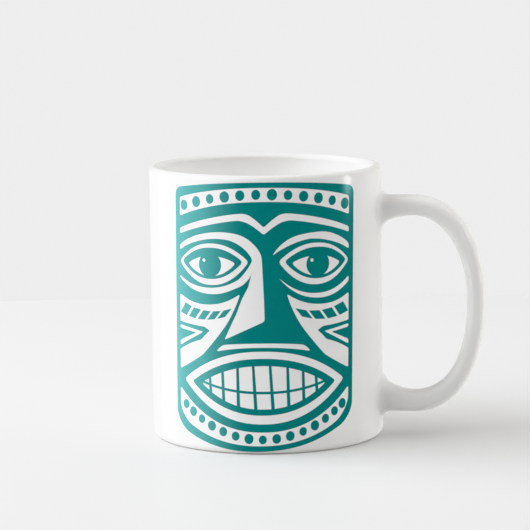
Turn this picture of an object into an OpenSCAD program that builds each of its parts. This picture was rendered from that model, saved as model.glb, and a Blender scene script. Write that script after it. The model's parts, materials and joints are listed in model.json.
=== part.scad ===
// Ceramic mug with a printed carved-mask panel.
// Origin: centre of the foot ring, on the table. +Z is up, +X points at the handle, and the
// printed panel faces -Y. Millimetres and degrees.

/* [Cup] */
// Outside diameter of the cup
cup_d = 82; // [78:0.5:84]
// Height from the table to the top of the rim
cup_h = 96; // [96:0.5:110]
// Thickness of the wall, which ends in a fully rounded rim
wall = 3.8; // [3:0.1:5]
// Thickness of the floor above the recess
floor_t = 4.5; // [3:0.25:7]
// Radius inside, where the wall runs into the floor
inner_corner_r = 9; // [5:0.5:14]
// Radius outside, at the bottom edge
base_corner_r = 2.2; // [1.5:0.1:3]
// Width of the flat ring that the cup stands on
foot_w = 4; // [2.5:0.25:6]
// Depth of the recess inside the foot ring
recess = 2; // [1:0.25:3]

/* [Handle] */
// Distance from the axis of the cup to the outside of the handle
handle_reach = 77.6; // [72:0.2:82]
// Height of the centre of the upper arm
upper_arm_z = 81.6; // [78:0.1:83]
// Height of the centre of the lower arm
lower_arm_z = 11.8; // [10:0.1:14]
// Height at which the handle stands out furthest
belly_z = 48; // [42:0.5:52]
// Distance from the axis at which the arms begin to bend
bend_x = 52.3; // [49.5:0.1:54]
// Width of the strap, seen end on
strap_w = 12.4; // [10:0.2:14]
// Thickness of the upper arm
upper_t = 7.2; // [6:0.1:8]
// Thickness of the strap at its outermost point
belly_t = 6.5; // [5.5:0.1:7.5]
// Thickness of the lower arm
lower_t = 7.6; // [6:0.1:8.5]
// How much thicker the strap is in the middle of the upper bend
upper_swell = 0.5; // [0:0.1:1]
// How much thinner the strap is in the middle of the lower bend
lower_thinning = 0.3; // [0:0.1:1]
// Radius of the slip fillet between each arm and the cup
slip_r = 3; // [2:0.25:3.25]
// How much thicker the upper arm is at the cup, on its inner side
upper_flare = 2.9; // [0:0.1:5]
// How much thicker the lower arm is at the cup, on its inner side
lower_flare = 4.4; // [0:0.1:5]

/* [Printed panel] */
// Direction that the panel faces, turned from -Y towards the handle
panel_turn = 5.2; // [0:0.1:10]
// Thickness of the ink film
ink_t = 0.08; // [0.06:0.01:0.12]
// Distance from the middle of the panel to its edge
panel_half_w = 34.5; // [33.5:0.1:35.5]
// Width of the plain border down each side of the panel
border = 2.3; // [1.6:0.1:2.8]
// Number of dots on the headband
headband_count = 12; // [8:1:13]
// Number of dots on the chin band
chin_count = 15; // [9:2:15]
// Number of bars on the left cheek
left_bar_count = 5; // [3:1:6]
// Number of bars on the right cheek
right_bar_count = 4; // [3:1:6]
// Number of teeth in each row
tooth_count = 9; // [7:2:11]

/* [Hidden] */
$fn = 96;

cup_r = cup_d / 2;
bore_r = cup_r - wall;
rim_r = wall / 2;
floor_z = recess + floor_t;
foot_r = cup_r - base_corner_r;
recess_r = foot_r - foot_w;
recess_corner_r = recess / 2;

ceramic = "white";
slip = "whitesmoke";
ink = "teal";

left = -1;
right = 1;

// Step between the points of a drawn line
line_step = 0.8;
// How squarely a bowed line carries its bow towards its ends: 2 is a parabola
bow_power = 2.2;
// Height of a dot over its width
dot_stretch = 1.12;
// Sideways lean of the drawing, for each unit of height
lean = 0.016;

// ---------- cup ----------

// Half of the cup's outside, from the axis to the wall
module outer_section() {
    square([foot_r, cup_h - rim_r]);
    translate([0, base_corner_r]) square([cup_r, cup_h - rim_r - base_corner_r]);
    translate([foot_r, base_corner_r]) circle(r = base_corner_r);
    translate([cup_r - rim_r, cup_h - rim_r]) circle(r = rim_r);
}

// Half of the space inside the cup, running out past the rim
module inner_section() {
    well_r = bore_r - inner_corner_r;
    translate([0, floor_z]) square([well_r, cup_h]);
    translate([0, floor_z + inner_corner_r]) square([bore_r, cup_h]);
    translate([well_r, floor_z + inner_corner_r]) circle(r = inner_corner_r);
}

// Half of the recess under the floor, with a rounded inner corner
module recess_section() {
    shoulder_r = recess_r - recess_corner_r;
    translate([0, -1]) square([shoulder_r, recess + 1]);
    translate([0, -1]) square([recess_r, recess - recess_corner_r + 1]);
    translate([shoulder_r, recess - recess_corner_r]) circle(r = recess_corner_r);
}

module cup_body() {
    color(ceramic)
    rotate_extrude()
    intersection() {
        difference() {
            outer_section();
            inner_section();
            recess_section();
        }
        square([cup_r + 1, cup_h + 1]);
    }
}

// ---------- handle ----------

// Points round the strap's section, and rings along each bend
section_points = 28;
bend_rings = 20;
// Roundness of the section: 2 is an ellipse, and more is squarer
section_power = 2.5;
// How far each bend reaches towards its corner: 0.55 is an ellipse
upper_pull = 0.59;
lower_pull = 0.61;
// Rings along each arm and each slip fillet
arm_rings = 5;
fillet_rings = 5;
// How far a slip joint is sunk before the cup is cut away from it
sink = 1;

arm_l = bend_x - cup_r;
belly_x = handle_reach - belly_t / 2;
up = 1;
down = -1;

function signed_power(v, p) = sign(v) * pow(abs(v), p);

// Point k of the section, as [across the strap, outward through the strap]
function section_point(k, half_w, half_t) =
    let (a = 360 * k / section_points, e = 2 / section_power)
    [half_w * signed_power(cos(a), e), half_t * signed_power(sin(a), e)];

// Ring of an arm at distance h from the wall, grown all round. Near the wall it curves with it,
// and it is thicker on its inner side.
function arm_ring(z, t, flare, outward, h, grow) =
    let (
        follow = min(1, 1 - (h - slip_r) / (arm_l - slip_r)),
        extra = flare * pow(1 - h / arm_l, 2)
    )
    [for (k = [0:section_points - 1])
        let (
            p = section_point(k, strap_w / 2 + grow, (t + extra) / 2 + grow),
            sagitta = cup_r + h - sqrt(pow(cup_r + h, 2) - p.x * p.x)
        )
        [cup_r + h - follow * sagitta, p.x, z + outward * (p.y - extra / 2)]];

function bezier(c, u) =
    pow(1 - u, 3) * c[0] + 3 * pow(1 - u, 2) * u * c[1]
    + 3 * (1 - u) * u * u * c[2] + pow(u, 3) * c[3];
function bezier_heading(c, u) =
    let (v = pow(1 - u, 2) * (c[1] - c[0]) + 2 * (1 - u) * u * (c[2] - c[1])
        + u * u * (c[3] - c[2]))
    v / norm(v);

// Control points of the bend from the arm at height z to the outermost point, as [x, z]
function bend(z, pull) = [
    [bend_x, z],
    [bend_x + pull * (belly_x - bend_x), z],
    [belly_x, belly_z + pull * (z - belly_z)],
    [belly_x, belly_z]
];

// Ring square to a bend at u, 0 at the arm and 1 at the outermost point. The strap is thicker in
// the middle of the bend by the swell.
function bend_ring(z, t, swell, outward, pull, u) =
    let (
        centre = bezier(bend(z, pull), u),
        heading = bezier_heading(bend(z, pull), u),
        out = outward * [-heading.y, heading.x],
        plain_t = t + (belly_t - t) * (1 - cos(180 * u)) / 2,
        half_t = (plain_t + swell * pow(sin(180 * u), 2)) / 2
    )
    [for (k = [0:section_points - 1])
        let (p = section_point(k, strap_w / 2, half_t), at = centre + p.y * out)
        [at.x, p.x, at.y]];

function middle(ring) = (ring[0] + ring[len(ring) / 2]) / 2;

// Closed solid through a list of rings, with a fan over each end
module skin(rings) {
    n = len(rings[0]);
    last = len(rings) - 1;
    points = concat([for (ring = rings) each ring], [middle(rings[0]), middle(rings[last])]);
    sides = [for (i = [0:last - 1], k = [0:n - 1])
        [i * n + k, i * n + (k + 1) % n, (i + 1) * n + (k + 1) % n, (i + 1) * n + k]];
    start_fan = [for (k = [0:n - 1]) [len(points) - 2, (k + 1) % n, k]];
    end_fan = [for (k = [0:n - 1]) [len(points) - 1, last * n + k, last * n + (k + 1) % n]];
    polyhedron(points, concat(sides, start_fan, end_fan), convexity = 4);
}

module handle() {
    arm_steps = [for (i = [0:arm_rings - 1]) slip_r + (arm_l - slip_r) * i / (arm_rings - 1)];
    color(ceramic)
    skin(concat(
        [for (i = [0:arm_rings - 1])
            arm_ring(upper_arm_z, upper_t, upper_flare, up, arm_steps[i], 0)],
        [for (i = [1:bend_rings])
            bend_ring(upper_arm_z, upper_t, upper_swell, up, upper_pull, i / bend_rings)],
        [for (i = [bend_rings - 1:-1:1])
            bend_ring(lower_arm_z, lower_t, -lower_thinning, down, lower_pull, i / bend_rings)],
        [for (i = [arm_rings - 1:-1:0])
            arm_ring(lower_arm_z, lower_t, lower_flare, down, arm_steps[i], 0)]
    ));
}

// The slip that bonds an arm to the cup, wiped to a hollow fillet all round
module slip_joint(z, t, flare, outward) {
    foot = arm_ring(z, t, flare, outward, 0, slip_r);
    buried = [for (p = foot) p - [sink, 0, 0]];
    fillet = [for (i = [1:fillet_rings])
        let (a = 90 * i / fillet_rings)
        arm_ring(z, t, flare, outward, slip_r * (1 - cos(a)), slip_r * (1 - sin(a)))];
    color(slip)
    difference() {
        skin(concat([buried, foot], fillet));
        cylinder(r = cup_r, h = cup_h, $fn = 360);
    }
}

module upper_slip_joint() {
    slip_joint(upper_arm_z, upper_t, upper_flare, up);
}

module lower_slip_joint() {
    slip_joint(lower_arm_z, lower_t, lower_flare, down);
}

// ---------- printed panel: drawing flat shapes ----------
// A corner is [x, z, bow]: x from the middle of the panel, z from the table, and how far the
// line to the next corner bows out to its left.

function bowed_line(a, b) =
    let (
        run = [b.x - a.x, b.y - a.y],
        l = norm(run),
        left_of_run = [-run.y, run.x] / l,
        n = max(2, ceil(l / line_step))
    )
    [for (i = [0:n - 1])
        let (u = i / n, share = 1 - pow(abs(2 * u - 1), bow_power))
        [a.x, a.y] + u * run + a.z * share * left_of_run];

function outline(corners) =
    [for (i = [0:len(corners) - 1]) each bowed_line(corners[i], corners[(i + 1) % len(corners)])];

// Takes the sharpness off each corner, as a knife-cut stencil does
function soften(points) =
    let (n = len(points))
    [for (i = [0:n - 1]) (points[(i + n - 1) % n] + 2 * points[i] + points[(i + 1) % n]) / 4];

// The whole drawing leans a little to the right, as one drawn by hand does
function leaning(p) = [p.x + lean * (p.y - cup_h / 2), p.y];

// A flat point as it is seen straight on once the panel is rolled round the cup
function rolled(p) = [(cup_r + ink_t) * sin(p.x / (cup_r + ink_t) * 180 / PI), p.y];

module draw(points, side = right) {
    polygon([for (p = points) rolled(leaning([side * p.x, p.y]))]);
}

module shape(corners, side = right) {
    draw(soften(outline(corners)), side);
}

// A leaf: two bowed lines that meet at a point at each end
module leaf(a, b, above, below, side = right) {
    shape([[a.x, a.y, above], [b.x, b.y, below]], side);
}

module dot(x, z, r) {
    draw([for (a = [0:18:342]) [x + r * cos(a), z + dot_stretch * r * sin(a)]]);
}

// Rolls flat shapes into an ink film on the wall of the cup
module print_on_cup() {
    color(ink)
    rotate([0, 0, panel_turn])
    intersection() {
        difference() {
            cylinder(r = cup_r + ink_t, h = cup_h);
            translate([0, 0, -1]) cylinder(r = cup_r, h = cup_h + 2);
        }
        rotate([90, 0, 0]) linear_extrude(height = cup_d) children();
    }
}

// ---------- printed panel: the mask ----------

// Inner edge of the side borders, where the cut-outs stop
edge = panel_half_w - border;

// Height of the line of headband dots, and of the line of chin dots, at x
headband_line_top = 89.7;
headband_line_drop = 4.4;
chin_line_bottom = 5.25;
chin_line_rise = 10.8;
headband_reach = edge - 2;
chin_reach = edge - 2.8;
function headband_line(x) = headband_line_top - headband_line_drop * pow(x / headband_reach, 2);
function chin_line(x) = chin_line_bottom + chin_line_rise * pow(x / chin_reach, 2);

// Hand-cut dots differ a little in size
function dot_r(i, mean, spread) = mean + spread * sin(137 * i);

// The bottom edges of the panel and of the chin band hang this much lower on the left
chin_tilt = 1;

module panel() {
    shape([
        [-panel_half_w, 89.2, 0.6], [-panel_half_w + 2.6, 91.6, 2.2],
        [panel_half_w - 2.6, 91.6, 0.6], [panel_half_w, 89.2, 0],
        [panel_half_w - 0.4, 14.6 + chin_tilt, 1.3], [27, 6.8 + chin_tilt, 5.7],
        [-27, 6.8 - chin_tilt, 1.3], [-panel_half_w + 0.4, 14.6 - chin_tilt, 0]
    ]);
}

module headband() {
    shape([[-edge, 81.4, 0], [-edge, 87.9, 4.1], [edge, 87.9, 0], [edge, 81.4, -5.8]]);
}

module brow_line() {
    notch_top = 78.4;
    crest = [8, 83.2];
    brow_end = 77.2;
    shape([
        [0, notch_top, 0.2], [5.2, 82.7, 0.15], [crest.x, crest.y, 0.9], [edge, brow_end, 0],
        [edge, brow_end - 1.9, -0.7], [crest.x + 1, crest.y - 2.4, -0.1], [5.6, 80, -0.2],
        [0, notch_top - 2.5, -0.2],
        [-5.6, 80, -0.1], [-crest.x - 1, crest.y - 2.4, -0.7], [-edge, brow_end - 1.9, 0],
        [-edge, brow_end, 0.9], [-crest.x, crest.y, 0.15], [-5.2, 82.7, 0.2]
    ]);
}

// The white ring round an eye, and the dark almond inside it
ring_inner = [5, 66.7];
ring_outer = [edge, 65.9];
almond_inner = [7.1, 66.7];
almond_outer = [edge - 1.3, 66];
iris_at = [19.2, 65.4];
iris_r = 4.35;

module eye_ring(side) {
    leaf(ring_inner, ring_outer, 6.4, 7.9, side);
}

// The lid above the right eye, open at the outer border
module right_lid() {
    shape([
        [3, 68.8, 1.2], [12, 75.6, 0.25], [21, 76.4, 0.9], [edge, 71.4, 0],
        [edge, 69.5, -1.1], [16, 74.2, -0.9]
    ]);
}

// The lid above the left eye runs on down the lit side of the nose and under the eye
module left_lid_and_nose() {
    shape([
        [-edge, 71.5, 2.4], [-8.7, 76, 1.2], [-0.7, 68.6, 0.1], [0.5, 46.3, 0],
        [-13.6, 39.7, 0], [-9, 49.5, 0.3], [-5.2, 58, 0.1], [-3.8, 63.4, 1.1],
        [-10, 57.4, 3.4], [-edge, 60.2, 0], [-edge, 61, -3.4], [-8.6, 60.6, -0.4],
        [-3.8, 67.4, -1.7], [-14.5, 74.3, -1.4], [-edge, 69.7, 0]
    ]);
}

module right_crescent() {
    shape([[5, 61.4, -5.5], [edge, 60.4, 0], [edge, 58.4, 6.1]]);
}

module eye(side) {
    difference() {
        leaf(almond_inner, almond_outer, 4.9, 5.9, side);
        difference() {
            leaf([9.6, 66.1], [edge - 4, 65.4], 2.6, 4.3, side);
            dot_at = [side * iris_at.x, iris_at.y];
            draw([for (a = [0:12:348]) dot_at + iris_r * [cos(a), sin(a)]]);
        }
        glint = [side * iris_at.x - 2.3, iris_at.y + 1.4];
        draw([for (a = [0:30:330]) glint + 0.6 * [cos(a), sin(a)]]);
    }
}

module cheek(side) {
    shape([
        [8, 55.7, -3.6], [edge, 54.6, 0], [edge, 28.3, 0.2],
        [22, 34, 0.2], [13.6, 43.9, 0.5]
    ], side);
}

// The dark tongue that reaches into each cheek from the border
module tongue(side) {
    shape([
        [edge + 1, 45.1, 0.2], [21, 43.8, 0.2], [19, 42.6, 0.2], [22.5, 39.2, 0.5],
        [edge + 1, 34.3, 0]
    ], side);
}

module chevron(side) {
    shape([
        [21.6, 42, 0], [edge, 43.7, 0], [edge, 42.5, 0],
        [24.6, 41.5, 0], [edge, 38.2, 0], [edge, 36.5, 0]
    ], side);
}

// Slanted bars along the middle of a cheek, between two lines that rise at both ends
function bar_top(x) = 49.3 + 0.02 * pow(x - 19, 2);
function bar_foot(x) = 46.2 + 0.019 * pow(x - 22, 2);

module cheek_bars(side, count) {
    first_x = 11;
    last_x = edge - 2.6;
    gap = 1;
    slant = 2.4;
    pitch = (last_x - first_x + gap) / count;
    for (i = [0:count - 1]) {
        x = first_x + pitch * i;
        next_x = x + pitch - gap;
        draw([
            [x, bar_top(x)], [next_x, bar_top(next_x)],
            [next_x + slant, bar_foot(next_x + slant)], [x + slant, bar_foot(x + slant)]
        ], side);
    }
}

module moustache_line() {
    shape([
        [-16.6, 35.5, 0.2], [-14, 37.9, 0.8], [14, 37.9, 0.2], [16.6, 35.5, -1.7]
    ]);
}

// The mouth's white ring, its dark lips and the teeth, each a leaf
module mouth_leaf(half_w, z, above, below) {
    leaf([-half_w, z], [half_w, z], above, below);
}

module mouth_ring() {
    mouth_leaf(30, 24.9, 11, 14.3);
}

// The line between the two rows of teeth
module bite_line() {
    half_l = 24;
    end_z = 25.8;
    dip = 3.8;
    thickness = 0.9;
    shape([
        [-half_l, end_z, -dip], [half_l, end_z, 0],
        [half_l, end_z - thickness, dip], [-half_l, end_z - thickness, 0]
    ]);
}

// One gap between teeth, wider at its foot, which slants a little differently each time
module tooth_gap(x, i) {
    top_z = 33;
    foot_z = 14;
    top_half_w = 0.45;
    foot_half_w = 0.6;
    slant = 0.5 + 0.25 * sin(97 * i);
    draw([
        [x - top_half_w - slant, top_z], [x + top_half_w - slant, top_z],
        [x + foot_half_w + slant, foot_z], [x - foot_half_w + slant, foot_z]
    ]);
}

// Teeth narrow towards the corners of the mouth
module tooth_gaps() {
    reach = 18.9;
    narrowing = 40;
    for (i = [1:tooth_count - 1]) {
        share = (2 * i - tooth_count) / (tooth_count - 2);
        tooth_gap(reach * sin(narrowing * share) / sin(narrowing), i);
    }
}

module chin_band() {
    shape([
        [-edge, 22, -14.2], [edge, 22, 0], [edge, 16.8 + chin_tilt, 0.9],
        [26.5, 9.4 + chin_tilt / 2, 6.4], [-26.5, 9.4 - chin_tilt / 2, 0.9],
        [-edge, 16.8 - chin_tilt, 0]
    ]);
}

module mask_ground() {
    print_on_cup()
    difference() {
        panel();
        headband();
        brow_line();
        left_lid_and_nose();
        right_lid();
        right_crescent();
        for (side = [left, right]) {
            eye_ring(side);
            difference() {
                cheek(side);
                tongue(side);
            }
            chevron(side);
        }
        moustache_line();
        mouth_ring();
        chin_band();
    }
}

module headband_dots() {
    print_on_cup()
    for (i = [0:headband_count - 1]) {
        x = headband_reach * (2 * i / (headband_count - 1) - 1);
        dot(x, headband_line(x), dot_r(i, 1.63, 0.14));
    }
}

module left_eye() {
    print_on_cup() eye(left);
}

module right_eye() {
    print_on_cup() eye(right);
}

module left_cheek_bars() {
    print_on_cup() cheek_bars(left, left_bar_count);
}

module right_cheek_bars() {
    print_on_cup() cheek_bars(right, right_bar_count);
}

module mouth() {
    print_on_cup()
    difference() {
        mouth_leaf(26.4, 24.4, 9, 10.7);
        difference() {
            mouth_leaf(22.4, 24.2, 6.7, 8.4);
            bite_line();
            tooth_gaps();
        }
    }
}

// Chin dots close up towards the ends of the band
module chin_dots() {
    closing = 50;
    print_on_cup()
    for (i = [0:chin_count - 1]) {
        x = chin_reach * sin(closing * (2 * i / (chin_count - 1) - 1)) / sin(closing);
        dot(x, chin_line(x), dot_r(i, 1.48, 0.12));
    }
}

cup_body();
handle();
upper_slip_joint();
lower_slip_joint();
mask_ground();
headband_dots();
left_eye();
right_eye();
left_cheek_bars();
right_cheek_bars();
mouth();
chin_dots();
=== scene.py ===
"""White glazed mug with a printed carved-mask panel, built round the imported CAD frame.

Metres, in the CAD frame: the cup's axis is Z, the handle points to +X and the print faces -Y.
"""

import json
import math

import bmesh
import bpy
from mathutils import Matrix, Vector


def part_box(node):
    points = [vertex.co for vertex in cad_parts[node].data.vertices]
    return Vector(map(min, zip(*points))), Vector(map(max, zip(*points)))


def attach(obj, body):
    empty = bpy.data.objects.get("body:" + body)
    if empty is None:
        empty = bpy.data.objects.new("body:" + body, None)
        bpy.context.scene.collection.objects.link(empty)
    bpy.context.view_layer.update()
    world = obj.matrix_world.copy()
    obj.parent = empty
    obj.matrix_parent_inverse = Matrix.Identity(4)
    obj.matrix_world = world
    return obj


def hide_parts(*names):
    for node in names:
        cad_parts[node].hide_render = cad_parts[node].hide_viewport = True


MM = 0.001

# ---------- sizes ----------

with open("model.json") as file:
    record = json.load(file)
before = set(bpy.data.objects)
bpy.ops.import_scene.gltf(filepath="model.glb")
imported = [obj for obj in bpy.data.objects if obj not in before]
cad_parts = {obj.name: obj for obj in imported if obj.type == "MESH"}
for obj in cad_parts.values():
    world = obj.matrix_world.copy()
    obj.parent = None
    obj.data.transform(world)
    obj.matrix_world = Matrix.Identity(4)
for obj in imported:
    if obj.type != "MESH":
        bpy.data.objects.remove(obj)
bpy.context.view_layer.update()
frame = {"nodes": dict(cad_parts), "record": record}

CUP_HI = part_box("cup_body")[1]
CUP_R = CUP_HI.x
CUP_H = round(CUP_HI.z, 4)
MOUTH = next(m for m in frame["record"]["mounts"] if m["name"] == "mouth")
BORE_R = MOUTH["dims"]["r_mm"] * MM
RIM_R = (CUP_R - BORE_R) / 2
BORE_FOOT_Z = MOUTH["pos_m"][2] - MOUTH["dims"]["length_mm"] * MM / 2
INNER_CORNER_R = 9 * MM
FLOOR_Z = BORE_FOOT_Z - INNER_CORNER_R
BASE_CORNER_R = 2.2 * MM
FOOT_R = CUP_R - BASE_CORNER_R
FOOT_W = 4 * MM
FOOT_EDGE_R = 0.4 * MM
RECESS = 2 * MM
RECESS_CORNER_R = 1 * MM
CUP_SEGMENTS = 256
# The glaze stops this many points up the corner round the foot ring
BARE_CORNER_POINTS = 4

# Handle: a strap bent to a D, thinner at the belly than at its arms. A pull says how far a bend
# reaches towards its corner, where 0.55 would be an ellipse.
HANDLE_LO, HANDLE_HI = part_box("handle")
STRAP_W = HANDLE_HI.y - HANDLE_LO.y
UPPER_ARM_Z, LOWER_ARM_Z = 81.6 * MM, 11.8 * MM
UPPER_T, BELLY_T, LOWER_T = 7.2 * MM, 6.5 * MM, 7.6 * MM
UPPER_SWELL, LOWER_SWELL = 0.5 * MM, -0.3 * MM
UPPER_FLARE, LOWER_FLARE = 2.9 * MM, 4.4 * MM
BELLY_X = HANDLE_HI.x - BELLY_T / 2
BELLY_Z = 48 * MM
BEND_X = 52.3 * MM
ARM_L = BEND_X - CUP_R
ARM_RINGS = 12
UPPER_PULL, LOWER_PULL = 0.59, 0.61
SECTION_POWER = 2.5
SECTION_POINTS = 64
BEND_RINGS = 48
FILLET_R = 3 * MM
FILLET_RINGS = 10
ROOT_SINK = 0.02 * MM

# Print: a film on the wall, whose back is sunk in it. It is cut into facets this far apart round
# the cup, and a face that looks this squarely away from the wall takes the wall's own normal.
FILM_T = 0.03 * MM
FILM_SINK = 0.02 * MM
FILM_FACET = math.radians(1.5)
FILM_FRONT_COSINE = 0.7
WELD = 0.001 * MM

# Camera: how far round the cup it stands from -Y, its distance from the cup's axis and its height,
# how it is turned, in degrees, and its lens in millimetres
CAMERA_AZIMUTH = 7.0
CAMERA_DISTANCE = 0.917
CAMERA_HEIGHT = 0.1887
CAMERA_HEADING = 7.033
CAMERA_PITCH = 7.992
CAMERA_ROLL = -0.68
CAMERA_LENS = 177.2

# Table: how far it reaches from the cup's axis, away from the camera, towards it and sideways
TABLE_BACK = 0.315
TABLE_FRONT = 0.8
TABLE_HALF_W = 0.55

# Room: the plain surround that the camera sees, and the radiance that reaches the mug from the
# sky overhead, from the sky at the back right and from the backdrop low behind the mug
SURROUND_COLOUR = (0.86, 0.86, 0.86)
SURROUND_R = 6
SKY_COLOUR = (1.0, 0.99, 0.965)
SKY_TOP = 0.84
SKY_SIDE = 0.6
BACKDROP = 0.85
LEFT_SKY_SHARE = 0.6

# Lights: brightness across the window and the strip, as ramp stops. The window's last stop is on
# its side nearer the camera. The mouth's fill hangs this far below the rim.
WINDOW_FALLOFF = [
    (0.0, 0.8), (0.35, 1.0), (0.55, 0.8), (0.67, 0.42), (0.81, 0.12), (0.92, 0.02), (1.0, 0.0)
]
STRIP_FALLOFF = [(0.0, 0.0), (0.3, 0.55), (0.5, 1.0), (0.7, 0.55), (1.0, 0.0)]
COOL, WARM = (0.985, 1.0, 1.03), (1.0, 0.985, 0.955)
MOUTH_FILL = 0.78
MOUTH_FILL_R = 0.8 * BORE_R
MOUTH_FILL_DEPTH = 1.5 * MM

# Camera response: the brightness shown for each radiance. It is straight up to 0.75 and then
# bends over softly to white.
FULL_WHITE = 1.7
RESPONSE = [(0.25, 0.25), (0.5, 0.5), (0.75, 0.75), (0.9, 0.875), (1.1, 0.948), (1.4, 0.985)]
ALL_CHANNELS = 3


# ---------- meshes ----------


def new_object(name, verts, faces, normals=None):
    """A smooth mesh object, with its own normal at each vertex if normals are given."""
    mesh = bpy.data.meshes.new(name)
    mesh.from_pydata([tuple(v) for v in verts], [], faces)
    mesh.polygons.foreach_set("use_smooth", [True] * len(mesh.polygons))
    mesh.update()
    if normals:
        mesh.normals_split_custom_set_from_vertices([tuple(n) for n in normals])
    obj = bpy.data.objects.new(name, mesh)
    bpy.context.scene.collection.objects.link(obj)
    return obj


def arc(centre, radius, start, end, steps, hollow=False):
    """Points [r, z, normal r, normal z] along an arc. The normals of a hollow arc face its centre."""
    points = []
    for i in range(steps + 1):
        a = math.radians(start + (end - start) * i / steps)
        c, s = math.cos(a), math.sin(a)
        side = -1 if hollow else 1
        points.append((centre[0] + radius * c, centre[1] + radius * s, side * c, side * s))
    return points


def straight(a, b, steps):
    """Points between the ends of two arcs, which share a normal."""
    return [
        tuple(a[k] + (b[k] - a[k]) * i / steps for k in range(2)) + (a[2], a[3])
        for i in range(1, steps)
    ]


def cup_profile():
    """The cup's half-section from the middle of the underside round to the middle of the floor,
    and the stretch of it that stands bare of glaze."""
    recess_r = FOOT_R - FOOT_W
    recess_corner = arc(
        (recess_r - RECESS_CORNER_R, RECESS - RECESS_CORNER_R), RECESS_CORNER_R, 90, 0, 8, hollow=True
    )
    foot_edge = arc((recess_r + FOOT_EDGE_R, FOOT_EDGE_R), FOOT_EDGE_R, 180, 270, 6)
    base_corner = arc((FOOT_R, BASE_CORNER_R), BASE_CORNER_R, -90, 0, 16)
    rim = arc((CUP_R - RIM_R, CUP_H - RIM_R), RIM_R, 0, 180, 28)
    floor_corner = arc(
        (BORE_R - INNER_CORNER_R, BORE_FOOT_Z), INNER_CORNER_R, 0, -90, 20, hollow=True
    )
    points = [(0, RECESS, 0, -1)] + recess_corner
    bare_from = len(points)
    foot_flat = straight(foot_edge[-1], base_corner[0], 4)
    points += foot_edge + foot_flat + base_corner
    bare_to = bare_from + len(foot_edge) + len(foot_flat) + BARE_CORNER_POINTS
    points += straight(base_corner[-1], rim[0], 30) + rim
    points += straight(rim[-1], floor_corner[0], 26) + floor_corner
    points.append((0, FLOOR_Z, 0, 1))
    return points, range(bare_from, bare_to)


def lathe(name, profile, segments, bare):
    """Turns a profile whose first and last points are on the axis. Bare stretches get material 1."""
    verts, normals, faces, bare_faces = [], [], [], []
    for r, z, nr, nz in profile[1:-1]:
        for s in range(segments):
            a = 2 * math.pi * s / segments
            verts.append((r * math.cos(a), r * math.sin(a), z))
            normals.append((nr * math.cos(a), nr * math.sin(a), nz))
    for i in range(len(profile) - 3):
        for s in range(segments):
            a, b = i * segments + s, i * segments + (s + 1) % segments
            faces.append((a, b, b + segments, a + segments))
            if i + 1 in bare:
                bare_faces.append(len(faces) - 1)
    for point, ring, up in ((profile[0], 0, -1), (profile[-1], len(profile) - 3, 1)):
        verts.append((0, 0, point[1]))
        normals.append((0, 0, up))
        for s in range(segments):
            a, b = ring * segments + s, ring * segments + (s + 1) % segments
            faces.append((len(verts) - 1, a, b) if up == 1 else (len(verts) - 1, b, a))
    obj = new_object(name, verts, faces, normals)
    for i in bare_faces:
        obj.data.polygons[i].material_index = 1
    return obj


# ---------- handle ----------


def signed_power(value, power):
    return math.copysign(abs(value) ** power, value)


def section_point(k, half_w, half_t):
    """Point k of the strap's section: across the strap, and outward through it."""
    a = 2 * math.pi * k / SECTION_POINTS
    e = 2 / SECTION_POWER
    return half_w * signed_power(math.cos(a), e), half_t * signed_power(math.sin(a), e)


def arm_ring(z, t, flare, outward, h, grow):
    """Ring of an arm at h from the cup's wall. Near the wall it curves with it, and it is thicker
    on its inner side."""
    follow = min(1, 1 - (h - FILLET_R) / (ARM_L - FILLET_R))
    extra = flare * (1 - h / ARM_L) ** 2
    ring = []
    for k in range(SECTION_POINTS):
        across, through = section_point(k, STRAP_W / 2 + grow, (t + extra) / 2 + grow)
        sagitta = CUP_R + h - math.sqrt((CUP_R + h) ** 2 - across**2)
        ring.append(
            Vector((CUP_R + h - follow * sagitta, across, z + outward * (through - extra / 2)))
        )
    return ring


def bend_ring(z, t, swell, outward, pull, u):
    """Ring of the bend at u: 0 where it leaves the arm at height z, 1 at the belly. The strap is
    thicker in the middle of the bend by the swell."""
    c = [
        Vector((BEND_X, z)),
        Vector((BEND_X + pull * (BELLY_X - BEND_X), z)),
        Vector((BELLY_X, BELLY_Z + pull * (z - BELLY_Z))),
        Vector((BELLY_X, BELLY_Z)),
    ]
    v = 1 - u
    centre = v**3 * c[0] + 3 * v * v * u * c[1] + 3 * v * u * u * c[2] + u**3 * c[3]
    heading = v * v * (c[1] - c[0]) + 2 * v * u * (c[2] - c[1]) + u * u * (c[3] - c[2])
    heading.normalize()
    out = outward * Vector((-heading.y, heading.x))
    plain_t = t + (BELLY_T - t) * (1 - math.cos(math.pi * u)) / 2
    half_t = (plain_t + swell * math.sin(math.pi * u) ** 2) / 2
    ring = []
    for k in range(SECTION_POINTS):
        across, through = section_point(k, STRAP_W / 2, half_t)
        at = centre + through * out
        ring.append(Vector((at.x, across, at.y)))
    return ring


def root_rings(z, t, flare, outward):
    """Rings of a slip fillet, from just inside the cup's wall to the plain strap."""
    rings = []
    for i in range(FILLET_RINGS + 1):
        a = math.pi / 2 * i / FILLET_RINGS
        h = FILLET_R * (1 - math.cos(a)) - ROOT_SINK * (1 - i / FILLET_RINGS)
        rings.append(arm_ring(z, t, flare, outward, h, FILLET_R * (1 - math.sin(a))))
    return rings


def arm_and_bend(z, t, flare, swell, outward, pull):
    """Rings from the fillet's end to the belly, which is left out."""
    rings = []
    for i in range(1, ARM_RINGS + 1):
        h = FILLET_R + (ARM_L - FILLET_R) * i / ARM_RINGS
        rings.append(arm_ring(z, t, flare, outward, h, 0))
    for i in range(1, BEND_RINGS):
        rings.append(bend_ring(z, t, swell, outward, pull, i / BEND_RINGS))
    return rings


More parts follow.
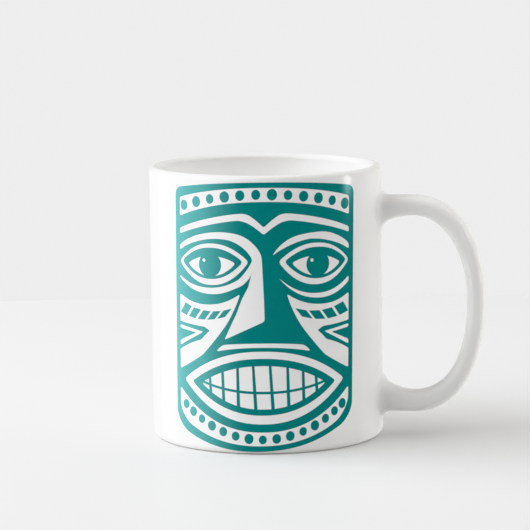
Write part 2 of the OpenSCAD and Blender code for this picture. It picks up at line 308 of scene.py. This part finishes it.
def sweep_normals(rings):
    """The surface's normal at every point of a list of rings."""
    normals = []
    n = len(rings[0])
    for i, ring in enumerate(rings):
        before, after = rings[max(0, i - 1)], rings[min(len(rings) - 1, i + 1)]
        for k in range(n):
            along = after[k] - before[k]
            around = ring[(k + 1) % n] - ring[k - 1]
            normals.append(along.cross(around).normalized())
    return normals


def handle_pieces():
    """The strap and its two slip fillets, as one surface cut at the ends of the fillets."""
    upper_root = root_rings(UPPER_ARM_Z, UPPER_T, UPPER_FLARE, 1)
    lower_root = root_rings(LOWER_ARM_Z, LOWER_T, LOWER_FLARE, -1)
    upper = arm_and_bend(UPPER_ARM_Z, UPPER_T, UPPER_FLARE, UPPER_SWELL, 1, UPPER_PULL)
    lower = arm_and_bend(LOWER_ARM_Z, LOWER_T, LOWER_FLARE, LOWER_SWELL, -1, LOWER_PULL)
    belly = bend_ring(UPPER_ARM_Z, UPPER_T, UPPER_SWELL, 1, UPPER_PULL, 1)
    rings = upper_root + upper + [belly] + lower[::-1] + lower_root[::-1]
    normals = sweep_normals(rings)
    n = SECTION_POINTS
    for end in (0, len(rings) - 1):
        for k, point in enumerate(rings[end]):
            normals[end * n + k] = Vector((point.x, point.y, 0)).normalized()
    cuts = {
        "upper_slip_fillet": (0, FILLET_RINGS),
        "handle_strap": (FILLET_RINGS, len(rings) - 1 - FILLET_RINGS),
        "lower_slip_fillet": (len(rings) - 1 - FILLET_RINGS, len(rings) - 1),
    }
    pieces = {}
    for name, (first, last) in cuts.items():
        verts = [p for ring in rings[first : last + 1] for p in ring]
        faces = [
            (i * n + k, (i + 1) * n + k, (i + 1) * n + (k + 1) % n, i * n + (k + 1) % n)
            for i in range(last - first)
            for k in range(n)
        ]
        pieces[name] = new_object(name, verts, faces, normals[first * n : (last + 1) * n])
    return pieces


# ---------- print ----------


def ink_film(node):
    """The node's ink as a thinner film with fine facets and the wall's own normals."""
    bm = bmesh.new()
    bm.from_mesh(frame["nodes"][node].data)
    bmesh.ops.remove_doubles(bm, verts=bm.verts, dist=WELD)
    steps = int(math.pi / 2 / FILM_FACET)
    for i in range(-steps, steps + 1):
        a = i * FILM_FACET
        geometry = bm.verts[:] + bm.edges[:] + bm.faces[:]
        bmesh.ops.bisect_plane(
            bm, geom=geometry, dist=1e-7, plane_co=(0, 0, 0), plane_no=(math.cos(a), math.sin(a), 0)
        )
    for v in bm.verts:
        r = Vector((v.co.x, v.co.y)).length
        target = CUP_R + FILM_T if r > CUP_R + FILM_T else CUP_R - FILM_SINK
        v.co.x *= target / r
        v.co.y *= target / r
    bmesh.ops.triangulate(bm, faces=[f for f in bm.faces if len(f.verts) > 4])
    mesh = bpy.data.meshes.new(node + "_film")
    bm.to_mesh(mesh)
    bm.free()
    mesh.polygons.foreach_set("use_smooth", [True] * len(mesh.polygons))
    mesh.update()
    normals = []
    for face in mesh.polygons:
        for index in face.vertices:
            co = mesh.vertices[index].co
            wall = Vector((co.x, co.y, 0)).normalized()
            in_front = face.normal.dot(wall) > FILM_FRONT_COSINE
            normals.append(tuple(wall if in_front else face.normal))
    mesh.normals_split_custom_set(normals)
    obj = bpy.data.objects.new(node + "_film", mesh)
    bpy.context.scene.collection.objects.link(obj)
    return obj


# ---------- materials ----------


def principled(name, **values):
    """A material with a Principled shader, its node tree and that shader."""
    material = bpy.data.materials.new(name)
    material.use_nodes = True
    shader = material.node_tree.nodes["Principled BSDF"]
    for socket, value in values.items():
        shader.inputs[socket.replace("_", " ")].default_value = value
    return material, material.node_tree, shader


def object_coordinates(tree):
    return tree.nodes.new("ShaderNodeTexCoord").outputs["Object"]


def noise(tree, scale, detail=2, roughness=0.5):
    node = tree.nodes.new("ShaderNodeTexNoise")
    node.inputs["Scale"].default_value = scale
    node.inputs["Detail"].default_value = detail
    node.inputs["Roughness"].default_value = roughness
    tree.links.new(object_coordinates(tree), node.inputs["Vector"])
    return node.outputs["Fac"]


def ramp(tree, value, stops):
    """A colour ramp on a value. Stops are (position, grey or colour)."""
    node = tree.nodes.new("ShaderNodeValToRGB")
    while len(node.color_ramp.elements) < len(stops):
        node.color_ramp.elements.new(0.5)
    for element, (position, colour) in zip(node.color_ramp.elements, stops):
        element.position = position
        element.color = (*colour, 1) if isinstance(colour, tuple) else (colour, colour, colour, 1)
    tree.links.new(value, node.inputs["Fac"])
    return node.outputs["Color"]


def bump(tree, height, distance, strength, under=None):
    node = tree.nodes.new("ShaderNodeBump")
    node.inputs["Distance"].default_value = distance
    node.inputs["Strength"].default_value = strength
    tree.links.new(height, node.inputs["Height"])
    if under:
        tree.links.new(under, node.inputs["Normal"])
    return node.outputs["Normal"]


def glaze_surface(tree, shader):
    """The faint waviness and orange peel that a fired glaze keeps, which the print follows too."""
    waves = bump(tree, noise(tree, scale=55, detail=1), distance=0.05 * MM, strength=0.6)
    grain = noise(tree, scale=900, detail=2)
    peel = bump(tree, grain, distance=0.004 * MM, strength=0.5, under=waves)
    tree.links.new(peel, shader.inputs["Normal"])


def glaze():
    """White gloss glaze: a little cloudy in tone, with a few tiny specks of iron."""
    material, tree, shader = principled("white_glaze", Roughness=0.06, IOR=1.5)
    whites = [(0.3, (0.835, 0.83, 0.818)), (0.7, (0.86, 0.857, 0.848))]
    cloud = ramp(tree, noise(tree, scale=40, detail=3), whites)
    iron = [(0.17, (0.75, 0.71, 0.65)), (0.2, 1.0)]
    specks = ramp(tree, noise(tree, scale=1500, detail=1), iron)
    mix = tree.nodes.new("ShaderNodeMix")
    mix.data_type = "RGBA"
    mix.blend_type = "MULTIPLY"
    mix.inputs["Factor"].default_value = 1
    tree.links.new(cloud, mix.inputs["A"])
    tree.links.new(specks, mix.inputs["B"])
    tree.links.new(mix.outputs["Result"], shader.inputs["Base Color"])
    glaze_surface(tree, shader)
    return material


def bare_clay():
    """The unglazed ring that the mug was fired on: matt, warmer and sandy."""
    material, tree, shader = principled("bare_clay", Roughness=0.85, IOR=1.45)
    grains = noise(tree, scale=2500, detail=4, roughness=0.7)
    colour = ramp(tree, grains, [(0.3, (0.60, 0.56, 0.50)), (0.65, (0.74, 0.71, 0.65))])
    tree.links.new(colour, shader.inputs["Base Color"])
    sand = bump(tree, grains, distance=0.03 * MM, strength=0.8)
    tree.links.new(sand, shader.inputs["Normal"])
    return material


def ink():
    """Teal print under a clear coat, slightly uneven in depth."""
    material, tree, shader = principled(
        "teal_print",
        Roughness=0.1,
        IOR=1.5,
        Specular_IOR_Level=0.85,
        Specular_Tint=(0.52, 1.0, 1.0, 1.0),
    )
    teals = [(0.3, (0.0006, 0.203, 0.197)), (0.7, (0.0006, 0.222, 0.216))]
    colour = ramp(tree, noise(tree, scale=300, detail=4, roughness=0.65), teals)
    tree.links.new(colour, shader.inputs["Base Color"])
    glaze_surface(tree, shader)
    return material


def table_top():
    material, tree, shader = principled("pale_table", Roughness=0.5)
    colour = ramp(tree, noise(tree, scale=6, detail=4), [(0.3, 0.765), (0.7, 0.79)])
    tree.links.new(colour, shader.inputs["Base Color"])
    return material


# ---------- stage ----------


def around(azimuth, distance, height):
    """A point seen from the cup's axis, at an azimuth measured from the camera's towards +X."""
    a = math.radians(CAMERA_AZIMUTH + azimuth)
    return Vector((distance * math.sin(a), -distance * math.cos(a), height))


def emission(tree, colour, strength):
    """Makes a node tree shine plainly, and returns its emission node."""
    tree.nodes.clear()
    shine = tree.nodes.new("ShaderNodeEmission")
    shine.inputs["Color"].default_value = (*colour, 1)
    shine.inputs["Strength"].default_value = strength
    return shine


def softbox(name, azimuth, distance, low, high, width, radiance, colour=(1, 1, 1), falloff=None):
    """An upright light that faces the mug, between two heights, with the given radiance. The
    falloff gives its brightness across, as ramp stops."""
    data = bpy.data.lights.new(name, "AREA")
    data.shape = "RECTANGLE"
    data.size = width
    data.size_y = high - low
    data.energy = radiance * math.pi * width * (high - low)
    data.color = colour
    if falloff:
        data.use_nodes = True
        tree = data.node_tree
        shine = emission(tree, (1, 1, 1), 1)
        across = tree.nodes.new("ShaderNodeSeparateXYZ")
        geometry = tree.nodes.new("ShaderNodeNewGeometry")
        tree.links.new(geometry.outputs["Parametric"], across.inputs["Vector"])
        tree.links.new(ramp(tree, across.outputs["X"], falloff), shine.inputs["Color"])
        output = tree.nodes.new("ShaderNodeOutputLight")
        tree.links.new(shine.outputs["Emission"], output.inputs["Surface"])
    light = bpy.data.objects.new(name, data)
    light.location = around(azimuth, distance, (low + high) / 2)
    facing = Vector((light.location.x, light.location.y, 0))
    light.rotation_euler = facing.to_track_quat("Z", "Y").to_euler()
    light.visible_camera = False
    bpy.context.scene.collection.objects.link(light)
    return light


def mouth_fill():
    """A weak disc in the mouth that stands for the bounce of a larger room into the cup."""
    data = bpy.data.lights.new("mouth_fill", "AREA")
    data.shape = "DISK"
    data.size = 2 * MOUTH_FILL_R
    data.energy = MOUTH_FILL * math.pi * math.pi * MOUTH_FILL_R**2
    light = bpy.data.objects.new("mouth_fill", data)
    light.location = (0, 0, CUP_H - MOUTH_FILL_DEPTH)
    light.visible_camera = False
    light.visible_glossy = False
    bpy.context.scene.collection.objects.link(light)


def dot(tree, vector, direction):
    node = tree.nodes.new("ShaderNodeVectorMath")
    node.operation = "DOT_PRODUCT"
    node.inputs[1].default_value = direction
    tree.links.new(vector, node.inputs[0])
    return node.outputs["Value"]


def map_range(tree, value, low, high, to_low, to_high):
    """Takes a value from one range to another, and holds it at the ends."""
    node = tree.nodes.new("ShaderNodeMapRange")
    node.inputs["From Min"].default_value = low
    node.inputs["From Max"].default_value = high
    node.inputs["To Min"].default_value = to_low
    node.inputs["To Max"].default_value = to_high
    tree.links.new(value, node.inputs["Value"])
    return node.outputs["Result"]


def multiply_add(tree, value, factor, plus=0.0):
    """Each of the three may be a number or a node's output."""
    node = tree.nodes.new("ShaderNodeMath")
    node.operation = "MULTIPLY_ADD"
    for socket, operand in zip(node.inputs, (value, factor, plus)):
        if isinstance(operand, (int, float)):
            socket.default_value = operand
        else:
            tree.links.new(operand, socket)
    return node.outputs["Value"]


def make_world():
    """The room as it lights the mug and as the glaze reflects it. Above is a sky, brightest overhead
    and at the back right. Low down there is a pale backdrop behind the mug and darkness in front,
    and on the left some of the sky reaches down over both."""
    world = bpy.data.worlds.new("studio")
    world.use_nodes = True
    tree = world.node_tree
    direction = tree.nodes.new("ShaderNodeTexCoord").outputs["Generated"]
    behind, right = -around(0, 1, 0), around(90, 1, 0)
    back_right = behind * 0.5 + right * 0.86
    up = dot(tree, direction, (0, 0, 1))
    side = map_range(tree, dot(tree, direction, back_right), 0, 1, 0, SKY_SIDE)
    sky = multiply_add(tree, multiply_add(tree, up, up), SKY_TOP, side)
    backdrop = map_range(tree, dot(tree, direction, behind), 0.05, 0.6, 0.0, BACKDROP)

    high = map_range(tree, up, 0.05, 0.45, 0.0, 1.0)
    above_table = map_range(tree, up, -0.02, 0.1, 0.0, 1.0)
    on_left = map_range(tree, dot(tree, direction, right), -0.1, 0.25, LEFT_SKY_SHARE, 0.0)
    not_high = multiply_add(tree, high, -1.0, 1.0)
    sky_share = multiply_add(tree, multiply_add(tree, above_table, on_left), not_high, high)
    mix = tree.nodes.new("ShaderNodeMix")
    tree.links.new(sky_share, mix.inputs["Factor"])
    tree.links.new(backdrop, mix.inputs["A"])
    tree.links.new(sky, mix.inputs["B"])
    background = tree.nodes["Background"]
    background.inputs["Color"].default_value = (*SKY_COLOUR, 1)
    tree.links.new(mix.outputs["Result"], background.inputs["Strength"])
    world.cycles_visibility.camera = False
    bpy.context.scene.world = world


def make_table():
    """A pale table top with its far edge behind the mug."""
    w, front, back = TABLE_HALF_W, -TABLE_FRONT, TABLE_BACK
    turn = Matrix.Rotation(math.radians(CAMERA_AZIMUTH), 4, "Z")
    corners = [(-w, front), (w, front), (w, back), (-w, back)]
    verts = [turn @ Vector((x, y, 0)) for x, y in corners]
    table = new_object("table", verts, [(0, 1, 2, 3)])
    table.data.materials.append(table_top())
    table.visible_glossy = False


def make_surround():
    """A plain light sphere round everything, which the camera sees and which lights nothing."""
    bm = bmesh.new()
    bmesh.ops.create_icosphere(bm, subdivisions=3, radius=SURROUND_R)
    mesh = bpy.data.meshes.new("surround")
    bm.to_mesh(mesh)
    bm.free()
    surround = bpy.data.objects.new("surround", mesh)
    bpy.context.scene.collection.objects.link(surround)
    paper = bpy.data.materials.new("surround_paper")
    paper.use_nodes = True
    shine = emission(paper.node_tree, SURROUND_COLOUR, 1)
    output = paper.node_tree.nodes.new("ShaderNodeOutputMaterial")
    paper.node_tree.links.new(shine.outputs["Emission"], output.inputs["Surface"])
    mesh.materials.append(paper)
    surround.visible_diffuse = False
    surround.visible_glossy = False
    surround.visible_transmission = False
    surround.visible_shadow = False


def make_lights():
    """A large window at the left, and fill from the right and the front that shows in no reflection.
    A strip and a line at the right show only as reflections in the glaze."""
    softbox(
        "window", azimuth=-75, distance=0.75, low=-0.25, high=1.7, width=2.14, radiance=3.6,
        colour=COOL, falloff=WINDOW_FALLOFF,
    )
    right_box = softbox(
        "right_box", azimuth=95, distance=1.0, low=0.02, high=0.45, width=1.4, radiance=2.85
    )
    front_box = softbox(
        "front_box", azimuth=0, distance=1.5, low=0.0, high=0.5, width=2.4, radiance=0.5,
        colour=WARM,
    )
    right_strip = softbox(
        "right_strip", azimuth=86, distance=0.7, low=0.018, high=0.07, width=0.2, radiance=9.0,
        falloff=STRIP_FALLOFF,
    )
    right_line = softbox(
        "right_line", azimuth=86, distance=0.7, low=0.07, high=0.4, width=0.03, radiance=9.0
    )
    right_strip.visible_diffuse = False
    right_line.visible_diffuse = False
    right_box.visible_glossy = False
    front_box.visible_glossy = False
    mouth_fill()


def make_camera():
    data = bpy.data.cameras.new("camera")
    data.lens = CAMERA_LENS
    camera = bpy.data.objects.new("camera", data)
    position = Matrix.Translation(around(0, CAMERA_DISTANCE, CAMERA_HEIGHT))
    heading = Matrix.Rotation(math.radians(CAMERA_HEADING), 4, "Z")
    tilt = Matrix.Rotation(math.radians(90 - CAMERA_PITCH), 4, "X")
    roll = Matrix.Rotation(math.radians(CAMERA_ROLL), 4, "Z")
    camera.matrix_world = position @ heading @ tilt @ roll
    bpy.context.scene.collection.objects.link(camera)
    bpy.context.scene.camera = camera


def set_camera_response():
    """Rolls the highlights off softly, as a camera does, where they would be cut at white."""
    view = bpy.context.scene.view_settings
    view.view_transform = "Standard"
    view.use_curve_mapping = True
    view.curve_mapping.white_level = (FULL_WHITE, FULL_WHITE, FULL_WHITE)
    for radiance, shown in RESPONSE:
        view.curve_mapping.curves[ALL_CHANNELS].points.new(radiance / FULL_WHITE, shown)
    view.curve_mapping.update()


# ---------- build ----------


def place(piece, node, slot, *materials):
    """Puts a detailed piece in the place of a CAD node."""
    for material in materials:
        piece.data.materials.append(material)
    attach(piece, "root")
    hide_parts(node)


def build():
    white = glaze()
    teal = ink()
    profile, bare = cup_profile()
    cup = lathe("cup_shell", profile, CUP_SEGMENTS, bare)
    place(cup, "cup_body", "glazed_body", white, bare_clay())
    pieces = handle_pieces()
    place(pieces["handle_strap"], "handle", "glazed_handle", white)
    place(pieces["upper_slip_fillet"], "upper_slip_joint", "glazed_slip", white)
    place(pieces["lower_slip_fillet"], "lower_slip_joint", "glazed_slip", white)
    for part in frame["record"]["subparts"]:
        if part["material_slot"] == "print_ink":
            place(ink_film(part["node"]), part["node"], "print_ink", teal)


make_world()
make_table()
make_surround()
make_lights()
make_camera()
set_camera_response()
build()
